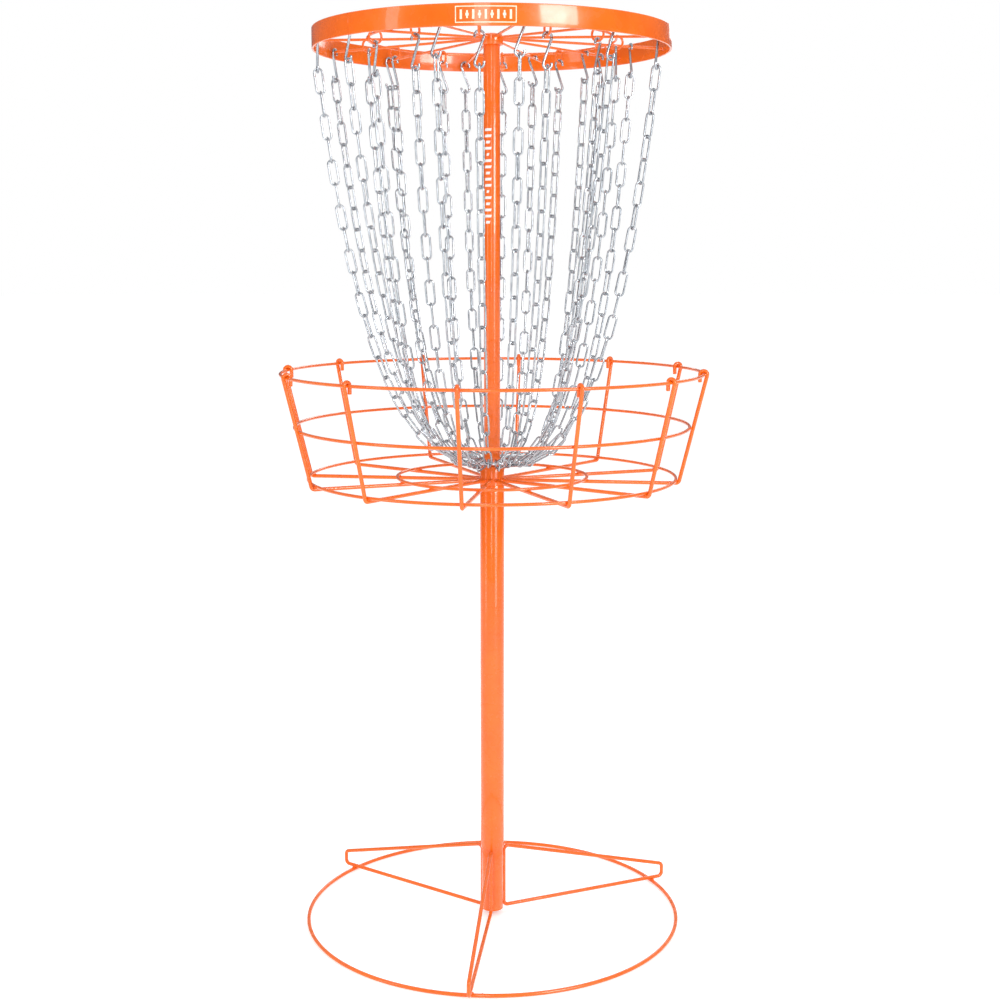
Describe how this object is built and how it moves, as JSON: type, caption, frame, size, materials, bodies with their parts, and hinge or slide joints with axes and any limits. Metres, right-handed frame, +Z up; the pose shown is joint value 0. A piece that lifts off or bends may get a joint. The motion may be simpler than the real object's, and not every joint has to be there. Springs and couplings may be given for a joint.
{
  "type": "disc golf basket",
  "caption": "Portable disc golf basket: a wire base, a two-piece pole, a flared wire basket and a banded top frame with hanging chains gathered in a ring round the pole.",
  "frame": {"origin": "on the ground at the pole's axis", "axes": "+Z up the pole, -Y towards the side where the band's plate and the front leg are"},
  "size_m": [0.6646, 0.6646, 1.402],
  "materials": {
    "powder_coat": "gloss",
    "zinc": "bright zinc plate"
  },
  "bodies": {
    "base": {"ground_ring": "powder_coat", "base_leg_1": "powder_coat", "base_leg_2": "powder_coat", "base_leg_3": "powder_coat", "base_socket": "powder_coat"},
    "pole": {"lower_pole": "powder_coat"},
    "basket": {"basket_hub": "powder_coat", "basket_rim": "powder_coat", "basket_mid_ring": "powder_coat", "basket_floor_ring": "powder_coat", "basket_inner_ring": "powder_coat", "basket_rib_01": "powder_coat", "basket_rib_02": "powder_coat", "basket_rib_03": "powder_coat", "basket_rib_04": "powder_coat", "basket_rib_05": "powder_coat", "basket_rib_06": "powder_coat", "basket_rib_07": "powder_coat", "basket_rib_08": "powder_coat", "basket_rib_09": "powder_coat", "basket_rib_10": "powder_coat", "basket_rib_11": "powder_coat", "basket_rib_12": "powder_coat"},
    "mast": {"upper_pole": "powder_coat", "top_hub": "powder_coat", "pole_cap": "powder_coat", "band": "powder_coat", "band_spokes": "powder_coat", "band_inner_ring": "powder_coat", "chain_eyes": "powder_coat", "s_hooks_outer": "zinc", "s_hooks_inner": "zinc"},
    "chain_ring": {"chain_ring": "zinc"},
    "chain_outer_01": {"chain_outer_01": "zinc"},
    "chain_outer_02": {"chain_outer_02": "zinc"},
    "chain_outer_03": {"chain_outer_03": "zinc"},
    "chain_outer_04": {"chain_outer_04": "zinc"},
    "chain_outer_05": {"chain_outer_05": "zinc"},
    "chain_outer_06": {"chain_outer_06": "zinc"},
    "chain_outer_07": {"chain_outer_07": "zinc"},
    "chain_outer_08": {"chain_outer_08": "zinc"},
    "chain_outer_09": {"chain_outer_09": "zinc"},
    "chain_outer_10": {"chain_outer_10": "zinc"},
    "chain_outer_11": {"chain_outer_11": "zinc"},
    "chain_outer_12": {"chain_outer_12": "zinc"},
    "chain_inner_01": {"chain_inner_01": "zinc"},
    "chain_inner_02": {"chain_inner_02": "zinc"},
    "chain_inner_03": {"chain_inner_03": "zinc"},
    "chain_inner_04": {"chain_inner_04": "zinc"},
    "chain_inner_05": {"chain_inner_05": "zinc"},
    "chain_inner_06": {"chain_inner_06": "zinc"},
    "chain_inner_07": {"chain_inner_07": "zinc"},
    "chain_inner_08": {"chain_inner_08": "zinc"},
    "chain_inner_09": {"chain_inner_09": "zinc"},
    "chain_inner_10": {"chain_inner_10": "zinc"},
    "chain_inner_11": {"chain_inner_11": "zinc"},
    "chain_inner_12": {"chain_inner_12": "zinc"}
  },
  "joints": [
    {"name": "pole_lift", "type": "slide", "parent": "base", "child": "pole", "axis": [0, 0, 1], "range_m": [0, 0.06]},
    {"name": "basket_lift", "type": "slide", "parent": "pole", "child": "basket", "axis": [0, 0, 1], "range_m": [0, 0.06]},
    {"name": "mast_lift", "type": "slide", "parent": "basket", "child": "mast", "axis": [0, 0, 1], "range_m": [0, 0.08]},
    {"name": "chain_ring_turn", "type": "hinge", "parent": "mast", "child": "chain_ring", "pos_m": [0, 0, 0.749], "axis": [0, 0, 1], "range_deg": [-20, 20]},
    {"name": "chain_outer_01_swing", "type": "hinge", "parent": "mast", "child": "chain_outer_01", "pos_m": [0.03038, 0.00536, 0.749], "axis": [0.2938, 0.0518, 0.9545], "range_deg": [-2, 2]},
    {"name": "chain_outer_02_swing", "type": "hinge", "parent": "mast", "child": "chain_outer_02", "pos_m": [0.02363, 0.01983, 0.749], "axis": [0.2008, 0.1685, 0.965], "range_deg": [-2, 2]},
    {"name": "chain_outer_03_swing", "type": "hinge", "parent": "mast", "child": "chain_outer_03", "pos_m": [0.01055, 0.02899, 0.749], "axis": [0.0897, 0.2463, 0.965], "range_deg": [-2, 2]},
    {"name": "chain_outer_04_swing", "type": "hinge", "parent": "mast", "child": "chain_outer_04", "pos_m": [-0.00536, 0.03038, 0.749], "axis": [-0.0633, 0.3588, 0.9313], "range_deg": [-2, 2]},
    {"name": "chain_outer_05_swing", "type": "hinge", "parent": "mast", "child": "chain_outer_05", "pos_m": [-0.01983, 0.02363, 0.749], "axis": [-0.2342, 0.2791, 0.9313], "range_deg": [-2, 2]},
    {"name": "chain_outer_06_swing", "type": "hinge", "parent": "mast", "child": "chain_outer_06", "pos_m": [-0.02899, 0.01055, 0.749], "axis": [-0.3424, 0.1246, 0.9313], "range_deg": [-2, 2]},
    {"name": "chain_outer_07_swing", "type": "hinge", "parent": "mast", "child": "chain_outer_07", "pos_m": [-0.03038, -0.00536, 0.749], "axis": [-0.3588, -0.0633, 0.9313], "range_deg": [-2, 2]},
    {"name": "chain_outer_08_swing", "type": "hinge", "parent": "mast", "child": "chain_outer_08", "pos_m": [-0.02363, -0.01983, 0.749], "axis": [-0.2791, -0.2342, 0.9313], "range_deg": [-2, 2]},
    {"name": "chain_outer_09_swing", "type": "hinge", "parent": "mast", "child": "chain_outer_09", "pos_m": [-0.01055, -0.02899, 0.749], "axis": [-0.1051, -0.2886, 0.9517], "range_deg": [-2, 2]},
    {"name": "chain_outer_10_swing", "type": "hinge", "parent": "mast", "child": "chain_outer_10", "pos_m": [0.00536, -0.03038, 0.749], "axis": [0.0549, -0.3112, 0.9488], "range_deg": [-2, 2]},
    {"name": "chain_outer_11_swing", "type": "hinge", "parent": "mast", "child": "chain_outer_11", "pos_m": [0.01983, -0.02363, 0.749], "axis": [0.2306, -0.2749, 0.9334], "range_deg": [-2, 2]},
    {"name": "chain_outer_12_swing", "type": "hinge", "parent": "mast", "child": "chain_outer_12", "pos_m": [0.02899, -0.01055, 0.749], "axis": [0.3345, -0.1218, 0.9345], "range_deg": [-2, 2]},
    {"name": "chain_inner_01_swing", "type": "hinge", "parent": "mast", "child": "chain_inner_01", "pos_m": [0.02796, 0.01304, 0.749], "axis": [0.235, 0.1096, 0.9658], "range_deg": [-2, 2]},
    {"name": "chain_inner_02_swing", "type": "hinge", "parent": "mast", "child": "chain_inner_02", "pos_m": [0.01769, 0.02527, 0.749], "axis": [0.1487, 0.2124, 0.9658], "range_deg": [-2, 2]},
    {"name": "chain_inner_03_swing", "type": "hinge", "parent": "mast", "child": "chain_inner_03", "pos_m": [0.00269, 0.03073, 0.749], "axis": [0.0226, 0.2583, 0.9658], "range_deg": [-2, 2]},
    {"name": "chain_inner_04_swing", "type": "hinge", "parent": "mast", "child": "chain_inner_04", "pos_m": [-0.01304, 0.02796, 0.749], "axis": [-0.1096, 0.235, 0.9658], "range_deg": [-2, 2]},
    {"name": "chain_inner_05_swing", "type": "hinge", "parent": "mast", "child": "chain_inner_05", "pos_m": [-0.02527, 0.01769, 0.749], "axis": [-0.2124, 0.1487, 0.9658], "range_deg": [-2, 2]},
    {"name": "chain_inner_06_swing", "type": "hinge", "parent": "mast", "child": "chain_inner_06", "pos_m": [-0.03073, 0.00269, 0.749], "axis": [-0.2583, 0.0226, 0.9658], "range_deg": [-2, 2]},
    {"name": "chain_inner_07_swing", "type": "hinge", "parent": "mast", "child": "chain_inner_07", "pos_m": [-0.02796, -0.01304, 0.749], "axis": [-0.235, -0.1096, 0.9658], "range_deg": [-2, 2]},
    {"name": "chain_inner_08_swing", "type": "hinge", "parent": "mast", "child": "chain_inner_08", "pos_m": [-0.01769, -0.02527, 0.749], "axis": [-0.1487, -0.2124, 0.9658], "range_deg": [-2, 2]},
    {"name": "chain_inner_09_swing", "type": "hinge", "parent": "mast", "child": "chain_inner_09", "pos_m": [-0.00269, -0.03073, 0.749], "axis": [-0.0226, -0.2583, 0.9658], "range_deg": [-2, 2]},
    {"name": "chain_inner_10_swing", "type": "hinge", "parent": "mast", "child": "chain_inner_10", "pos_m": [0.01304, -0.02796, 0.749], "axis": [0.1096, -0.235, 0.9658], "range_deg": [-2, 2]},
    {"name": "chain_inner_11_swing", "type": "hinge", "parent": "mast", "child": "chain_inner_11", "pos_m": [0.02527, -0.01769, 0.749], "axis": [0.2124, -0.1487, 0.9658], "range_deg": [-2, 2]},
    {"name": "chain_inner_12_swing", "type": "hinge", "parent": "mast", "child": "chain_inner_12", "pos_m": [0.03073, -0.00269, 0.749], "axis": [0.2583, -0.0226, 0.9658], "range_deg": [-2, 2]}
  ]
}
